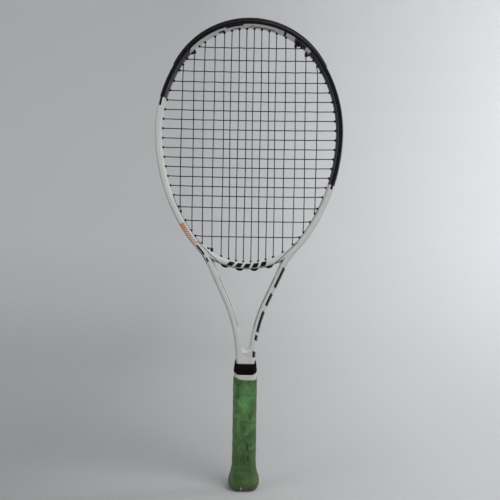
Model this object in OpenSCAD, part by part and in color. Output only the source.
// Tennis racket, standing on its butt. Z runs from butt to tip, X across the hoop, and -Y is the front face.
// Lengths are in millimetres. The origin is the middle of the butt's end face.

/* [Beam] */
// Length from the butt to the outside of the bumper guard
racket_length = 685; // [680:1:690]
// Depth of the beam, front to back
beam_depth = 23; // [22:0.5:24]
// Thickness of the beam in the plane of the strings
beam_width = 10.5; // [10.3:0.1:10.8]
// Width of the flat facet on the beam's front and back
beam_facet = 5.2; // [4.5:0.1:6]
// Wall of the hollow beam
beam_wall = 1.5; // [1.3:0.1:1.6]

/* [Hoop] */
// Radius of the tip arc, on the beam's centreline
tip_radius = 122; // [120:1:124]
// Turn of the tip arc on each side, in degrees
tip_turn = 57.4; // [57:0.1:58]
// Radius of the shoulder arc
shoulder_radius = 188.5; // [186:0.5:192]
// Turn of the shoulder arc
shoulder_turn = 33.3; // [33:0.1:33.6]
// Radius of the waist arc
waist_radius = 265.5; // [262:0.5:268]
// Turn of the waist arc
waist_turn = 34.4; // [34:0.1:34.8]

/* [Throat] */
// Turn that the frame shares with the bridge's arc before it leaves for the shaft
corner_turn = 10; // [9:0.5:11]
// Radius of the bend from the hoop into the shaft
shaft_bend_radius = 96; // [92:1:100]
// Turn of that bend
shaft_bend_turn = 20.3; // [19:0.1:21]
// Radius of the long bend from the shaft into the neck
neck_radius = 222; // [215:1:230]
// Half the distance between the two tubes of the neck and handle
neck_x = 9; // [8.9:0.1:9.2]
// Height of the web's top edge, where the shafts part
web_top = 202; // [198:1:206]
// Half depth of the web between the tubes
web_half_depth = 10.2; // [9:0.1:11]

/* [Strings] */
// Number of main strings on each side of the middle
mains_per_side = 8; // [8]
// Number of cross strings
cross_count = 19; // [19]
// Diameter of the string
string_d = 1.3; // [1.2:0.05:1.35]
// Spacing of the middle mains
main_gap = 10.9; // [10.8:0.1:11]
// First widened spacing of the outer mains
outer_main_gap = 13.6; // [13.4:0.1:13.7]
// Growth of each further outer spacing
outer_main_growth = 0.85; // [0.7:0.05:0.9]
// Height of the top cross string
top_cross_z = 644.7; // [644:0.1:645.5]
// Spacing of the middle crosses
cross_gap = 13.9; // [13.8:0.05:13.95]
// Growth of each spacing towards the tip, over the last three
tip_gap_growth = 1.5; // [1.3:0.1:1.6]
// Growth of each spacing towards the throat, over the last three
throat_gap_growth = 2.9; // [2.7:0.1:3]

/* [Grommets] */
// How far a grommet's tip stands off the inner wall
tip_out = 1.2; // [1:0.1:1.5]
// Outer radius of a grommet barrel
barrel_r = 1.5; // [1.4:0.05:1.6]
// Width of the string groove in the beam's outer face
groove_width = 8; // [7.6:0.1:8.4]
// Height of the groove's floor over the beam's centreline
groove_floor = 2.8; // [2.7:0.1:2.9]
// Thickness of a grommet strip's base
strip_t = 0.9; // [0.8:0.05:1]
// Half angle of the hoop that the bumper guard covers
bumper_turn = 60; // [59.5:0.1:60.5]
// Thickness of the bumper guard over the beam
bumper_t = 1.6; // [1.4:0.1:2]
// Half angle of the throat strip
throat_strip_turn = 24; // [23:0.5:26]
// Height of the saddles that the strings loop over below the bridge
saddle_h = 2.6; // [2.2:0.1:3]

/* [Handle] */
// Half width of the handle's foam core
pallet_half_x = 15.05; // [15:0.05:15.4]
// Half depth of the handle's foam core
pallet_half_y = 13.5; // [13.2:0.1:13.8]
// Leg of the handle's corner bevels
pallet_bevel = 5.8; // [5.4:0.1:5.9]
// Height of the core's lower end over the butt
pallet_z = 14; // [13:0.5:16]
// Height of the core's upper end
pallet_top = 176; // [175:0.5:176]
// Thickness of the base grip
base_grip_t = 1.5; // [1.3:0.1:1.7]
// Height of the base grip's top edge
base_grip_top = 171.5; // [171:0.1:172]
// Thickness of the overgrip
overgrip_t = 0.6; // [0.5:0.05:0.7]
// Height of the overgrip's top edge
overgrip_top = 162; // [158:1:164]

/* [Butt] */
// Height of the butt cap
cap_h = 30; // [28:1:32]
// How far the cap flares out from the core
cap_flare = 5.8; // [5:0.1:6.2]
// Height of the widest part of the flare
flare_z = 12; // [11:0.5:13]
// Thickness of the cap's end plate
cap_plate = 3; // [2.8:0.1:3.4]
// Radius of the hole in the end plate
door_hole_r = 9.3; // [9:0.1:9.6]
// Radius of the recess around the hole
door_recess_r = 11.5; // [11.3:0.1:11.7]
// Depth of that recess
door_recess = 1.5; // [1.3:0.1:1.7]

/* [Collar] */
// Height of the rubber collar's lower edge
collar_z = 168.7; // [168.6:0.1:169]
// Height of the rubber collar's upper edge
collar_top = 183.5; // [182:0.1:184]

/* [Hidden] */
$fn = 48;
eps = 0.01;

function reversed(list) = [for (n = [len(list) - 1 : -1 : 0]) list[n]];

// ---- Arcs and straights -----------------------------------------------------------------------------
// A segment is [radius, turn, x, z, heading]. Headings are degrees clockwise from +X, so 90 points down.
// A positive radius bends right, a negative one left, and radius 0 makes turn the length of a straight.
function along(h) = [cos(h), -sin(h)];
function outward(h) = [sin(h), cos(h)];
function seg_point(s) = [s[2], s[3]];
function seg_centre(s) = seg_point(s) - s[0] * outward(s[4]);
function heading_at(s, f) = s[0] == 0 ? s[4] : s[4] + sign(s[0]) * s[1] * f;
function point_at(s, f, off = 0) =
    let (h = heading_at(s, f))
    s[0] == 0
        ? seg_point(s) + s[1] * f * along(h) + off * outward(h)
        : seg_centre(s) + (s[0] + off) * outward(h);
function chain(plan, start, h, i = 0) =
    i == len(plan) ? [] :
    let (s = concat(plan[i], start, [h]))
    concat([s], chain(plan, point_at(s, 1), heading_at(s, 1), i + 1));

tip_z = racket_length - bumper_t - beam_width / 2;
hoop = chain(
    [[tip_radius, tip_turn], [shoulder_radius, shoulder_turn], [waist_radius, waist_turn]],
    [0, tip_z], 0);
waist_h = heading_at(hoop[2], 1);
waist_end = point_at(hoop[2], 1);
// The bridge's arc closes the oval on the racket's axis
bridge_radius = waist_end[0] / sin(waist_h);
bridge = concat([bridge_radius, 180 - waist_h], waist_end, [waist_h]);
oval = concat(hoop, [bridge]);
corner = concat([bridge_radius, corner_turn], waist_end, [waist_h]);
bend = concat([-shaft_bend_radius, shaft_bend_turn], point_at(corner, 1), [heading_at(corner, 1)]);
shaft_h = heading_at(bend, 1);
// Length of straight that brings the neck's bend out at neck_x
shaft_length = (neck_x - point_at(bend, 1)[0] + neck_radius * (1 - sin(shaft_h))) / cos(shaft_h);
shaft = concat([0, shaft_length], point_at(bend, 1), [shaft_h]);
neck = concat([-neck_radius, shaft_h - 90], point_at(shaft, 1), [shaft_h]);
neck_end = point_at(neck, 1);
// The tubes step down to a shallower section over the last stretch above the handle's core
step_h = 1;
neck_foot = concat([0, neck_end[1] - pallet_top - step_h], neck_end, [90]);
core = concat([0, pallet_top - pallet_z], [neck_x, pallet_top], [90]);
BEND = 4;
rail = concat(hoop, [corner, bend, shaft, neck, neck_foot]);

module both_sides() {
    children();
    mirror([1, 0, 0]) children();
}

// ---- Beam sections ----------------------------------------------------------------------------------
side_bulge = (beam_width - beam_facet) / 2;
side_r = (pow(beam_depth / 2, 2) + pow(side_bulge, 2)) / (2 * side_bulge);
handle_half_depth = 9;
// Half the beam's thickness at a depth y
function side_x(y) = beam_width / 2 - side_r + sqrt(side_r * side_r - y * y);

// Fourteen points around the beam's outside: eight on its outer face, where the groove is, and six inside
MID = 0.62;
function beam_ring(d, grooved) =
    let (g = groove_width / 2)
    let (floor_x = grooved ? groove_floor : side_x(g))
    [
        [side_x(d), -d], [side_x(MID * d), -MID * d], [side_x(g), -g], [floor_x, -g + eps],
        [floor_x, g - eps], [side_x(g), g], [side_x(MID * d), MID * d], [side_x(d), d],
        [-side_x(d), d], [-side_x(MID * d), MID * d], [-side_x(d / 4), d / 4],
        [-side_x(d / 4), -d / 4], [-side_x(MID * d), -MID * d], [-side_x(d), -d]
    ];
// The same number of points around its hollow
function hollow_ring(d) =
    [for (p = beam_ring(d - beam_wall, false))
        [p[0] > 0 ? groove_floor - beam_wall : p[0] + beam_wall, p[1]]];

// ---- String layout ----------------------------------------------------------------------------------
tip_inset = beam_width / 2 + tip_out;
string_r = string_d / 2;
string_gap = 0.05;
string_rise = groove_floor + strip_t + string_r + string_gap;
standard_reach = tip_inset + string_rise;
// Height of a string's middle over or under the string bed at a crossing
weave = 0.477 * string_d;
// Mains loop on one side of the groove and crosses on the other
lane = 1.6;

function main_x(k) =
    k == 0 ? main_gap / 2 :
    main_x(k - 1) + (k <= 3 ? main_gap : outer_main_gap + outer_main_growth * (k - 4));
function cross_step(j) =
    cross_gap + tip_gap_growth * max(0, 3 - j) + throat_gap_growth * max(0, j - (cross_count - 5));
function cross_z(j) = j == 0 ? top_cross_z : cross_z(j - 1) - cross_step(j - 1);

// Finds the heading at which the grommet tips' oval passes an X or a height, as [heading, segment]
function tip_circle(s) = [seg_centre(s)[0], seg_centre(s)[1], s[0] - tip_inset];
function holds(s, h) = h >= s[4] - eps && h <= s[4] + s[1] + eps;
function heading_for_x(x, low) =
    [for (s = oval)
        let (c = tip_circle(s))
        let (q = (x - c[0]) / c[2])
        let (h = abs(q) > 1 ? -1 : low ? 180 - asin(q) : asin(q))
        if (holds(s, h)) [h, s]][0];
function heading_for_z(z) =
    [for (s = oval)
        let (c = tip_circle(s))
        let (q = (z - c[1]) / c[2])
        let (h = abs(q) > 1 ? -1 : acos(q))
        if (holds(s, h)) [h, s]][0];
function tip_point(found) =
    let (c = tip_circle(found[1])) [c[0], c[1]] + c[2] * outward(found[0]);

// Distance from a point, along a direction, to a circle
function ray_to_circle(p, d, c, r) =
    let (v = c - p)
    let (m = v * d)
    m - sqrt(r * r - v * v + m * m);

// Holes behind the corner open on the outside of the shaft's bend
bend_centre = seg_centre(bend);
function reach_to_bend(p, h) =
    ray_to_circle(p, outward(h), bend_centre, shaft_bend_radius - string_rise);
function bend_station(q) =
    let (v = bend_centre - q)
    BEND + (bend[4] - atan2(v[0], v[1])) / shaft_bend_turn;

// A hole is [side, tip, heading, reach, station]: the string's corner outside the frame is reach away
// from the tip, and the station is its place along the rail. Holes in the bridge have station -1.
function rail_station(h) =
    h < hoop[1][4] ? (h - hoop[0][4]) / tip_turn :
    h < hoop[2][4] ? 1 + (h - hoop[1][4]) / shoulder_turn :
    h < waist_h ? 2 + (h - hoop[2][4]) / waist_turn :
    3 + (h - waist_h) / corner_turn;
function hole(side, found, through_bend = false, in_bridge = false) =
    let (p = tip_point(found))
    let (h = found[0])
    let (reach = through_bend ? reach_to_bend(p, h) : standard_reach)
    let (q = p + reach * outward(h))
    [side, p, h, reach, in_bridge ? -1 : through_bend ? bend_station(q) : rail_station(h)];
function at_heading(h) = [h, [for (s = oval) if (holds(s, h)) s][0]];

// Mains are numbered 0 to 15 from left to right
main_total = 2 * mains_per_side;
function main_side(i) = i < mains_per_side ? -1 : 1;
function main_rank(i) = i < mains_per_side ? mains_per_side - 1 - i : i - mains_per_side;
function top_hole(i) = hole(main_side(i), heading_for_x(main_x(main_rank(i)), false));
function low_hole(i) =
    let (k = main_rank(i))
    hole(main_side(i), heading_for_x(main_x(k), true),
        through_bend = k == 4 || k == 5, in_bridge = k < 4);
function cross_hole(j, side) = hole(side, heading_for_z(cross_z(j)));

// Tie-off holes: the ends of the string come back in beside a neighbouring string and are knotted to it
tie_turn = 2.4;
function beside_main(k, low, step) = at_heading(heading_for_x(main_x(k), low)[0] + step);
function main_tie_hole(side) = hole(side, beside_main(6, false, tie_turn));
cross_start_tie = hole(1, beside_main(5, false, tie_turn));
cross_end_tie = hole(-1, beside_main(4, true, -1.6 * tie_turn), through_bend = true);

bumper_holes = concat(
    [for (i = [0 : main_total - 1]) top_hole(i)],
    [for (j = [0, 1], side = [-1, 1]) cross_hole(j, side)],
    [main_tie_hole(-1), main_tie_hole(1), cross_start_tie]);
function side_holes(side) = concat(
    [for (j = [2 : cross_count - 1]) cross_hole(j, side)],
    [for (k = [4 : 7]) low_hole(side > 0 ? mains_per_side + k : mains_per_side - 1 - k)]);
left_holes = concat(side_holes(-1), [cross_end_tie]);
right_holes = side_holes(1);
throat_holes = [for (k = [-4 : 3]) low_hole(mains_per_side + k)];

function hole_tip(g) = [g[0] * g[1][0], g[1][1]];
function hole_way(g) = [g[0] * outward(g[2])[0], outward(g[2])[1]];
function hole_out(g, d) = hole_tip(g) + d * hole_way(g);
function in_space(p, y = 0) = [p[0], y, p[1]];

// A cylinder along a hole, from one distance to another, counted from the grommet's tip
module along_hole(g, r, from, to) {
    translate(in_space(hole_out(g, from)))
        rotate([0, g[0] * g[2], 0])
            cylinder(r = r, h = to - from, $fn = 24);
}

// ---- Frame ------------------------------------------------------------------------------------------
hole_r = barrel_r + 0.1;
groove_end = bend_station(low_hole(3)[1] + low_hole(3)[3] * outward(low_hole(3)[2])) + 0.12;

module frame_holes(holes) {
    for (g = holes)
        along_hole(g, hole_r, tip_out - 1, g[3] + 1);
}

// Places on the rail, from the tip to the core, where the frame's right side has a ring.
// The number of steps in each segment keeps the facets short where the frame bends most.
RAIL_STEPS = [8, 7, 10, 2, 6, 1, 6, 1];
rail_stops = concat([0], [for (i = [0 : len(rail) - 1], n = [1 : RAIL_STEPS[i]]) i + n / RAIL_STEPS[i]]);
function ring_in_space(ring, p, h, side) =
    [for (q = ring) [side * (p[0] + q[0] * outward(h)[0]), q[1], p[1] + q[0] * outward(h)[1]]];
function ring_on_rail(ring, u, side) =
    let (i = min(floor(u), len(rail) - 1))
    ring_in_space(ring, point_at(rail[i], u - i), heading_at(rail[i], u - i), side);
function rail_ring(u, side, hollow) =
    let (d = beam_depth / 2)
    ring_on_rail(hollow ? hollow_ring(d) : beam_ring(d, u < groove_end), u, side);
function core_ring(f, side, hollow) =
    ring_in_space(hollow ? hollow_ring(handle_half_depth) : beam_ring(handle_half_depth, false),
        point_at(core, f), 90, side);
function side_rings(side, hollow) =
    concat(
        [for (u = rail_stops) rail_ring(u, side, hollow)],
        [for (f = [0, 1]) core_ring(f, side, hollow)]);
function hairpin_rings(hollow) =
    let (right = side_rings(1, hollow))
    concat(reversed(side_rings(-1, hollow)), [for (n = [1 : len(right) - 1]) right[n]]);

// Joins rings in turn. The faces look out when the rings run one way, and in when flipped.
function ring_walls(count, sides, first, flipped) =
    [for (n = [0 : count - 2], m = [0 : sides - 1])
        let (a = first + n * sides + m)
        let (b = first + n * sides + (m + 1) % sides)
        each flipped
            ? [[a, b + sides, b], [a, a + sides, b + sides]]
            : [[a, b, b + sides], [a, b + sides, a + sides]]];

// A hollow run: the outer and inner rings in two sets, with a flat face around each mouth
module pipe(outer, inner) {
    sides = len(outer[0]);
    total = len(outer);
    second = total * sides;
    mouths = [
        for (m = [0 : sides - 1])
            let (n = (m + 1) % sides)
            let (e = (total - 1) * sides)
            each [
                [m, second + n, n], [m, second + m, second + n],
                [e + m, e + n, second + e + n], [e + m, second + e + n, second + e + m]
            ]
    ];
    polyhedron(
        [for (r = concat(outer, inner)) each r],
        concat(ring_walls(total, sides, 0, false), ring_walls(total, sides, second, true), mouths));
}

// A solid run of rings, closed at both ends
module run(rings) {
    sides = len(rings[0]);
    last = (len(rings) - 1) * sides;
    ends = [[for (m = [sides - 1 : -1 : 0]) m], [for (m = [0 : sides - 1]) last + m]];
    polyhedron([for (r = rings) each r], concat(ring_walls(len(rings), sides, 0, false), ends));
}

// One section along the right side's rail, with the same stops as the frame
function stops_between(from, to) =
    concat([from], [for (u = rail_stops) if (u > from + eps && u < to - eps) u], [to]);
function rings_between(ring, from, to) = [for (u = stops_between(from, to)) ring_on_rail(ring, u, 1)];

module frame() {
    color("whitesmoke")
        difference() {
            union() {
                pipe(hairpin_rings(false), hairpin_rings(true));
                web();
            }
            frame_holes(bumper_holes);
            frame_holes(left_holes);
            frame_holes(right_holes);
        }
}

// The web closes the gap between the two tubes above the handle's core
module web() {
    half = neck_x - beam_width / 2 + 0.6;
    translate([-half, -web_half_depth, pallet_top])
        cube([2 * half, 2 * web_half_depth, web_top - pallet_top]);
}

// The bridge starts where it has cleared the tube by a workable thickness
bridge_lead = 7;
bridge_half = 180 - heading_at(corner, 1) - bridge_lead;

groove_turn = throat_strip_turn + 1;
BRIDGE_STEPS = 4;
bridge_side_stops = concat(
    [for (n = [1 : BRIDGE_STEPS]) groove_turn * n / BRIDGE_STEPS],
    [groove_turn + 2, (groove_turn + 2 + bridge_half) / 2, bridge_half]);
bridge_stops = concat(-reversed(bridge_side_stops), [0], bridge_side_stops);
function bridge_point(h) = seg_centre(bridge) + bridge_radius * outward(h);
function bridge_rings(hollow) =
    [for (t = bridge_stops)
        let (d = beam_depth / 2)
        ring_in_space(hollow ? hollow_ring(d) : beam_ring(d, abs(t) < groove_turn + eps),
            bridge_point(180 + t), 180 + t, 1)];

// A fillet closes the sharp corner between the bridge's underside and the shaft
fillet_turn = 25.4;
fillet_z = 323.5;
fillet_half_depth = 9;
fillet_hollow = 1.2;
fillet_root = 2.4;
function bridge_off(turn, off) = bridge_point(180 - turn) + off * outward(180 - turn);
module fillet() {
    // The shaft's inner side at the fillet's foot, just inside the tube
    f = (point_at(shaft, 0)[1] - fillet_z) / (shaft_length * sin(shaft_h));
    foot = point_at(shaft, f, 0.6 - beam_width / 2);
    top = bridge_off(fillet_turn, beam_width / 2 - 0.3);
    outline = [
        top, (top + foot) / 2 + [fillet_hollow, 0], foot, point_at(shaft, f), point_at(shaft, 0),
        bridge_off(36, fillet_root), bridge_off(31, fillet_root), bridge_off(fillet_turn, fillet_root)
    ];
    rotate([90, 0, 0])
        linear_extrude(2 * fillet_half_depth, center = true) polygon(outline);
}

module throat_bridge() {
    color("whitesmoke")
        difference() {
            union() {
                pipe(bridge_rings(false), bridge_rings(true));
                both_sides() fillet();
            }
            both_sides() run(rings_between(beam_ring(beam_depth / 2, false), 3, 6));
            frame_holes(throat_holes);
            frame_holes([low_hole(3), low_hole(2), cross_end_tie]);
            frame_holes([low_hole(12), low_hole(13)]);
        }
}

// ---- Grommets ---------------------------------------------------------------------------------------
strip_half = groove_width / 2 - 0.2;
strip_ring = [
    [groove_floor, -strip_half], [groove_floor + strip_t, -strip_half],
    [groove_floor + strip_t, strip_half], [groove_floor, strip_half]
];

module barrels(holes) {
    for (g = holes)
        along_hole(g, barrel_r, 0, g[3] - string_r - string_gap - strip_t / 2);
}

module bores(holes) {
    for (g = holes)
        along_hole(g, string_r + 0.1, -1, g[3] + 1);
}

// The guard lies in the groove and lips over the beam on both sides of the string channel
channel_half = 2.6;
guard_half = 8.6;
guard_crown = 5.6;
guard_edge_t = 0.6 * bumper_t;
// The beam's own facet, where the guard's edge lies on it
function beam_facet_x(y) =
    let (d = beam_depth / 2)
    side_x(MID * d) + (side_x(d) - side_x(MID * d)) * (y - MID * d) / (d - MID * d);
guard_edge_x = beam_facet_x(guard_half);
half_guard = [
    [groove_floor + strip_t, channel_half], [side_x(channel_half) + bumper_t, channel_half],
    [side_x(guard_crown) + bumper_t, guard_crown], [guard_edge_x + guard_edge_t, guard_half],
    [guard_edge_x, guard_half], [side_x(MID * beam_depth / 2), MID * beam_depth / 2],
    [side_x(groove_width / 2), groove_width / 2], [groove_floor, strip_half]
];
bumper_ring = concat([for (p = reversed(half_guard)) [p[0], -p[1]]], half_guard);
bumper_stops = stops_between(0, rail_station(bumper_turn));
bumper_rings = concat(
    [for (u = reversed(bumper_stops)) ring_on_rail(bumper_ring, u, -1)],
    [for (n = [1 : len(bumper_stops) - 1]) ring_on_rail(bumper_ring, bumper_stops[n], 1)]);

module bumper_guard() {
    color("#141414")
        difference() {
            union() {
                run(bumper_rings);
                barrels(bumper_holes);
            }
            bores(bumper_holes);
        }
}

module side_strip(side, holes) {
    color("#141414")
        difference() {
            union() {
                mirror([side > 0 ? 0 : 1, 0, 0])
                    run(rings_between(strip_ring, rail_station(bumper_turn + 0.2), groove_end - 0.05));
                barrels(holes);
            }
            bores(holes);
        }
}

module left_grommet_strip() {
    side_strip(-1, left_holes);
}

module right_grommet_strip() {
    side_strip(1, right_holes);
}

// Middle of the loop between two neighbouring mains, as a heading on the bridge
function loop_heading(k) = (low_hole(8 + k)[2] + low_hole(9 + k)[2]) / 2;
saddle_r = 3.6;

module saddle(side, h) {
    p = seg_centre(bridge) + (bridge_radius + groove_floor + strip_t + saddle_h - saddle_r) * outward(h);
    translate([side * p[0], -lane - 1.4, p[1]])
        rotate([-90, 0, 0])
            cylinder(r = saddle_r, h = 2 * lane + 2.8);
}

// Turns a section about the bridge's centre. The section's +x is the outside of the bridge.
module on_bridge(half_turn) {
    translate(in_space(seg_centre(bridge)))
        rotate([90, 0, 0])
            rotate([0, 0, -90 - half_turn])
                rotate_extrude(angle = 2 * half_turn)
                    translate([bridge_radius, 0]) children();
}

module throat_grommet_strip() {
    color("#141414")
        difference() {
            union() {
                on_bridge(throat_strip_turn) polygon(strip_ring);
                barrels(throat_holes);
                intersection() {
                    for (side = [-1, 1], k = [0, 2])
                        saddle(side, loop_heading(k));
                    on_bridge(throat_strip_turn)
                        translate([groove_floor, -groove_width / 2])
                            square([beam_width, groove_width]);
                }
            }
            bores(throat_holes);
        }
}

// ---- Strings ----------------------------------------------------------------------------------------
STRING_SIDES = 6;

function half_width_at(z) = tip_point(heading_for_z(z))[0];
function over(i, j) = (i + j) % 2 == 0 ? weave : -weave;
function main_pos(i) = main_side(i) * main_x(main_rank(i));
function crosses_main(i, j) = abs(main_pos(i)) < half_width_at(cross_z(j)) - 1.5;

function corner_of(g) = in_space(hole_out(g, g[3]));
function mouth_of(g) = in_space(hole_out(g, -0.4));

// Point in the groove at a signed station, negative on the left side
function groove_point(u, y) =
    let (i = min(floor(abs(u)), len(rail) - 1))
    let (p = point_at(rail[i], abs(u) - i, string_rise))
    [(u < 0 ? -1 : 1) * p[0], y, p[1]];
function station(g) = g[0] * g[4];
LOOP_STEPS = [0.15, 0.38, 0.62, 0.85];
function groove_loop(a, b, y) =
    [for (f = LOOP_STEPS) groove_point(station(a) * (1 - f) + station(b) * f, y)];
// Below the bridge the loop climbs over a saddle
function bridge_loop(a, b) =
    [for (f = LOOP_STEPS)
        let (h = a[2] * (1 - f) + b[2] * f)
        let (lift = saddle_h * (f > 0.3 && f < 0.7 ? 1 : 0.45) + 0.15)
        let (p = seg_centre(bridge) + (bridge_radius + string_rise + lift) * outward(h))
        [a[0] * p[0], 0, p[1]]];

function main_leg(i) =
    let (down = concat(
        [corner_of(top_hole(i)), mouth_of(top_hole(i))],
        [for (j = [0 : cross_count - 1])
            if (crosses_main(i, j)) [main_pos(i), over(i, j), cross_z(j)]],
        [mouth_of(low_hole(i)), corner_of(low_hole(i))]))
    i % 2 == 0 ? down : reversed(down);
function main_loop(i) =
    i % 2 == 0
        ? (low_hole(i)[4] < 0 ? bridge_loop(low_hole(i), low_hole(i + 1))
                              : groove_loop(low_hole(i), low_hole(i + 1), -lane))
        : groove_loop(top_hole(i), top_hole(i + 1), -lane);
function cross_leg(j) =
    let (to_left = concat(
        [corner_of(cross_hole(j, 1)), mouth_of(cross_hole(j, 1))],
        [for (i = [main_total - 1 : -1 : 0])
            if (crosses_main(i, j)) [main_pos(i), -over(i, j), cross_z(j)]],
        [mouth_of(cross_hole(j, -1)), corner_of(cross_hole(j, -1))]))
    j % 2 == 0 ? to_left : reversed(to_left);
function cross_loop(j) =
    let (side = j % 2 == 0 ? -1 : 1)
    groove_loop(cross_hole(j, side), cross_hole(j + 1, side), lane);

// A tail comes in through its tie-off hole and stops at the knot
knot_r = 1.9;
knot_drop = 3.4;
// The bore leaves room for the weave of the string inside it
knot_slack = 0.5;
function knot_point(k, side, low) =
    let (p = tip_point(heading_for_x(main_x(k), low)))
    [side * p[0], 0, p[1] + (low ? knot_drop : -knot_drop)];
function tail(g, knot) =
    let (m = mouth_of(g))
    let (d = knot - m)
    [corner_of(g), m, m + d * max(0, 1 - (knot_r + 0.05) / norm(d))];

main_path = concat(
    reversed(tail(main_tie_hole(-1), knot_point(6, -1, false))),
    reversed(groove_loop(top_hole(0), main_tie_hole(-1), -lane)),
    [for (i = [0 : main_total - 1])
        for (p = concat(main_leg(i), i < main_total - 1 ? main_loop(i) : [])) p],
    groove_loop(top_hole(main_total - 1), main_tie_hole(1), -lane),
    tail(main_tie_hole(1), knot_point(6, 1, false)));
cross_path = concat(
    reversed(tail(cross_start_tie, knot_point(5, 1, false))),
    reversed(groove_loop(cross_hole(0, 1), cross_start_tie, lane)),
    [for (j = [0 : cross_count - 1])
        for (p = concat(cross_leg(j), j < cross_count - 1 ? cross_loop(j) : [])) p],
    groove_loop(cross_hole(cross_count - 1, -1), cross_end_tie, lane),
    tail(cross_end_tie, knot_point(4, -1, true)));
function unit(v) = v / norm(v);

// Ring of points around a string's middle. Its flats face front and back, so crossings stay thin.
function string_ring(p, way) =
    let (side = unit(cross(way, [0, 1, 0])))
    let (up = cross(side, way))
    [for (n = [0 : STRING_SIDES - 1])
        let (a = 360 / STRING_SIDES * (n + 0.5))
        p + string_r * (cos(a) * up + sin(a) * side)];

module string_run(path) {
    last = len(path) - 1;
    run([
        for (n = [0 : last])
            string_ring(path[n], unit(path[min(n + 1, last)] - path[max(n - 1, 0)]))
    ]);
}

// A knot is cinched around the neighbouring main, which runs through its middle
module knot(k, side, low) {
    translate(knot_point(k, side, low))
        difference() {
            intersection() {
                sphere(knot_r, $fn = 24);
                cube([2 * knot_r, 2 * knot_r, 1.7 * knot_r], center = true);
            }
            cylinder(r = string_r + knot_slack, h = 4 * knot_r, center = true, $fn = 24);
        }
}

module main_string() {
    color("#1c1c1c") string_run(main_path);
}

module cross_string() {
    color("#222222") string_run(cross_path);
}

module main_string_knots() {
    color("#1c1c1c") {
        knot(6, -1, false);
        knot(6, 1, false);
    }
}

module cross_string_knots() {
    color("#222222") {
        knot(5, 1, false);
        knot(4, -1, true);
    }
}

// ---- Handle -----------------------------------------------------------------------------------------
CORNER_STEPS = 2;
corner_r = 1.6;

// Outline of the eight-sided handle with rounded edges, counterclockwise
function octagon(half_x, half_y, bevel, r = corner_r) =
    let (cut = r * tan(22.5))
    let (corners = [
        [half_x, half_y - bevel, 0], [half_x - bevel, half_y, 45],
        [-half_x + bevel, half_y, 90], [-half_x, half_y - bevel, 135],
        [-half_x, -half_y + bevel, 180], [-half_x + bevel, -half_y, 225],
        [half_x - bevel, -half_y, 270], [half_x, -half_y + bevel, 315]])
    [for (c = corners)
        let (middle = [c[0], c[1]] - r * [cos(c[2]), sin(c[2])] - cut * [-sin(c[2]), cos(c[2])])
        for (n = [0 : CORNER_STEPS])
            let (a = c[2] + 45 * n / CORNER_STEPS)
            middle + r * [cos(a), sin(a)]];
function handle_ring(off) =
    octagon(pallet_half_x + off, pallet_half_y + off, pallet_bevel + 0.586 * off, corner_r + off * 0.4);

// A closed sleeve: its rings, each at a height, are joined in turn and the last back to the first
module sleeve(rings, heights) {
    sides = len(rings[0]);
    total = len(rings);
    points = [for (n = [0 : total - 1], p = rings[n]) [p[0], p[1], heights[n]]];
    faces = [
        for (n = [0 : total - 1], m = [0 : sides - 1])
            let (a = n * sides + m)
            let (b = n * sides + (m + 1) % sides)
            let (c = ((n + 1) % total) * sides + (m + 1) % sides)
            let (d = ((n + 1) % total) * sides + m)
            each [[a, c, b], [a, d, c]]
    ];
    polyhedron(points, faces);
}

// A wrap's outline, outside upwards then inside downwards, as [height, offset] pairs
module wrap(outside, inside) {
    profile = concat(outside, reversed(inside));
    sleeve([for (p = profile) handle_ring(p[1])], [for (p = profile) p[0]]);
}

cap_foot = -0.5;
cap_skirt = 0.8;
function flare_height(a) = flare_z * (1 - cos(a));
function flare_offset(a) = cap_foot + (cap_flare - cap_foot) * sin(a);
function flare_points(from, extra) =
    [for (a = [from : 15 : 90]) [flare_height(a), flare_offset(a) + extra]];
BASE_GRIP_START = 30;
OVERGRIP_START = 15;

// The cap's staples: a crown across the skirt and two legs into the core, front and back
staple_z = 22;
staple_r = 0.5;
staple_half = 3.6;
staple_crown_out = 1.7;
staple_crown_y = pallet_half_y + staple_crown_out;
staple_leg = 7;

module staple_shape(r) {
    for (side = [-1, 1])
        translate([side * staple_half, -staple_crown_y, staple_z])
            rotate([-90, 0, 0])
                cylinder(r = r, h = staple_leg, $fn = 24);
    translate([-staple_half - r, -staple_crown_y, staple_z])
        rotate([0, 90, 0])
            cylinder(r = r, h = 2 * (staple_half + r), $fn = 24);
}

module front_and_back() {
    children();
    mirror([0, 1, 0]) children();
}

// A tack holds the base grip's lower end on the cap's flare, with its head sunk in the grip
tack_z = flare_height(75);
tack_r = 0.6;
tack_head_r = 1.5;
tack_head_t = 0.75;
tack_y = pallet_half_y + flare_offset(75) + base_grip_t - tack_head_t - 0.45;

module tack_shape(clear, head_h) {
    translate([0, tack_y, tack_z])
        rotate([-90, 0, 0]) {
            cylinder(r = tack_head_r + clear, h = head_h, $fn = 32);
            translate([0, 0, -4]) cylinder(r = tack_r + clear / 2, h = 4 + eps, $fn = 24);
        }
}

module pallet() {
    color("khaki")
        difference() {
            intersection() {
                translate([0, 0, pallet_z])
                    linear_extrude(pallet_top - pallet_z) polygon(handle_ring(0));
                translate([-50, -100, 0]) cube([100, 100, 200]);
            }
            both_sides()
                translate([neck_x, 0, pallet_z - 1])
                    linear_extrude(pallet_top - pallet_z + 2)
                        polygon(beam_ring(handle_half_depth, false));
            front_and_back() staple_shape(staple_r + 0.02);
        }
}

module front_pallet() {
    pallet();
}

module back_pallet() {
    mirror([0, 1, 0]) pallet();
}

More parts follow.
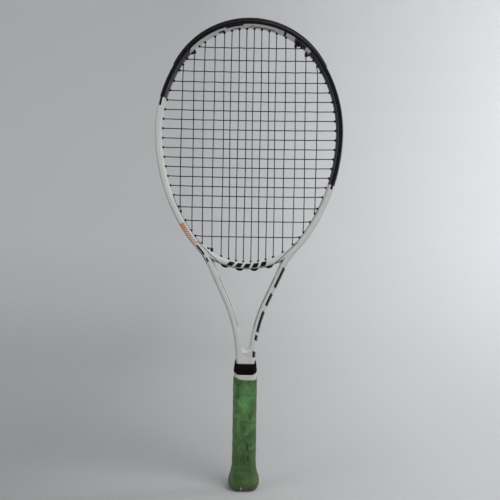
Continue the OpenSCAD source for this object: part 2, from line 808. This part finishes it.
module butt_cap() {
    outline = concat(flare_points(0, 0), [[cap_h, cap_skirt]]);
    color("#1a1a1a")
        difference() {
            run([for (p = reversed(outline)) [for (q = handle_ring(p[1])) [q[0], q[1], p[0]]]]);
            translate([0, 0, pallet_z]) linear_extrude(cap_h) polygon(handle_ring(0));
            translate([0, 0, cap_plate]) linear_extrude(pallet_z) polygon(handle_ring(-2.4));
            translate([0, 0, -1]) cylinder(r = door_hole_r, h = cap_plate + 2, $fn = 64);
            translate([0, 0, -1]) cylinder(r = door_recess_r, h = door_recess + 1, $fn = 64);
            front_and_back() staple_shape(staple_r + 0.02);
            front_and_back() staple_window();
            tack_shape(0.05, tack_head_t);
        }
}

// Opens the skirt outside each staple's crown, so that the crown lies in a shallow slot
module staple_window() {
    translate([-staple_half - 1, -pallet_half_y - cap_flare, staple_z - 1])
        cube([2 * staple_half + 2, cap_flare - staple_crown_out + staple_r, 2]);
}

module butt_trap_door() {
    door_r = door_hole_r - 0.05;
    color("#202020")
        difference() {
            union() {
                translate([0, 0, 0.3])
                    cylinder(r = door_recess_r - 0.35, h = door_recess - 0.3, $fn = 64);
                translate([0, 0, door_recess - eps]) cylinder(r = door_r, h = 5, $fn = 64);
            }
            translate([0, 0, door_recess]) cylinder(r = door_r - 1.4, h = 6, $fn = 64);
            translate([-4, -door_recess_r - 1, -1]) cube([8, 2.6, 1.9]);
        }
}

module butt_cap_staples() {
    color("silver") front_and_back() staple_shape(staple_r);
}

module base_grip() {
    taper = [
        [base_grip_top - 4.5, base_grip_t],
        [base_grip_top - 3.2, 0.45 * base_grip_t],
        [base_grip_top, 0.3]
    ];
    color("#b9aca0")
        difference() {
            wrap(
                concat(flare_points(BASE_GRIP_START, base_grip_t), [[cap_h, cap_skirt + base_grip_t]],
                    [[cap_h + 6, base_grip_t]], taper),
                concat(flare_points(BASE_GRIP_START, 0), [[cap_h, cap_skirt], [cap_h, 0]],
                    [[base_grip_top, 0]]));
            tack_shape(0.05, 4 * tack_head_t);
        }
}

module base_grip_tack() {
    color("silver") tack_shape(0, tack_head_t);
}

module finishing_tape() {
    color("white")
        wrap(
            [[base_grip_top + 0.1, 0.25], [pallet_top, 0.25]],
            [[base_grip_top + 0.1, 0], [pallet_top, 0]]);
}

module overgrip() {
    under = base_grip_t;
    over_all = base_grip_t + overgrip_t;
    color("#3f6b3a")
        wrap(
            concat(flare_points(OVERGRIP_START, over_all), [[cap_h, cap_skirt + over_all]],
                [[cap_h + 6, over_all], [overgrip_top, over_all]]),
            concat(flare_points(OVERGRIP_START, under), [[cap_h, cap_skirt + under]],
                [[cap_h + 6, under], [overgrip_top, under]]));
}

// The collar's rings are [height, half x, half y, bevel]: wide over the grip's end, snug on the neck
module rubber_collar() {
    mid = pallet_top + 1.2;
    outside = [
        [collar_z, 16.2, 14.7, 6], [collar_z + 0.7, 16.6, 15.1, 6], [collar_z + 2, 16.85, 15.3, 6],
        [mid, 16.6, 15, 5.5], [mid + 3, 15.9, 13.8, 4.6], [collar_top, 15.4, 12.6, 3.2]];
    inside = [
        [collar_z, 15.9, 14.4, 5.6], [mid, 15.75, 14.2, 5.2], [mid + 3, 15.2, 13, 4],
        [collar_top, 14.9, 12, 2.6]];
    profile = concat(outside, reversed(inside));
    color("#111111")
        sleeve([for (p = profile) octagon(p[1], p[2], p[3])], [for (p = profile) p[0]]);
}

frame();
throat_bridge();
bumper_guard();
left_grommet_strip();
right_grommet_strip();
throat_grommet_strip();
main_string();
cross_string();
main_string_knots();
cross_string_knots();
front_pallet();
back_pallet();
butt_cap();
butt_trap_door();
butt_cap_staples();
base_grip();
base_grip_tack();
finishing_tape();
overgrip();
rubber_collar();
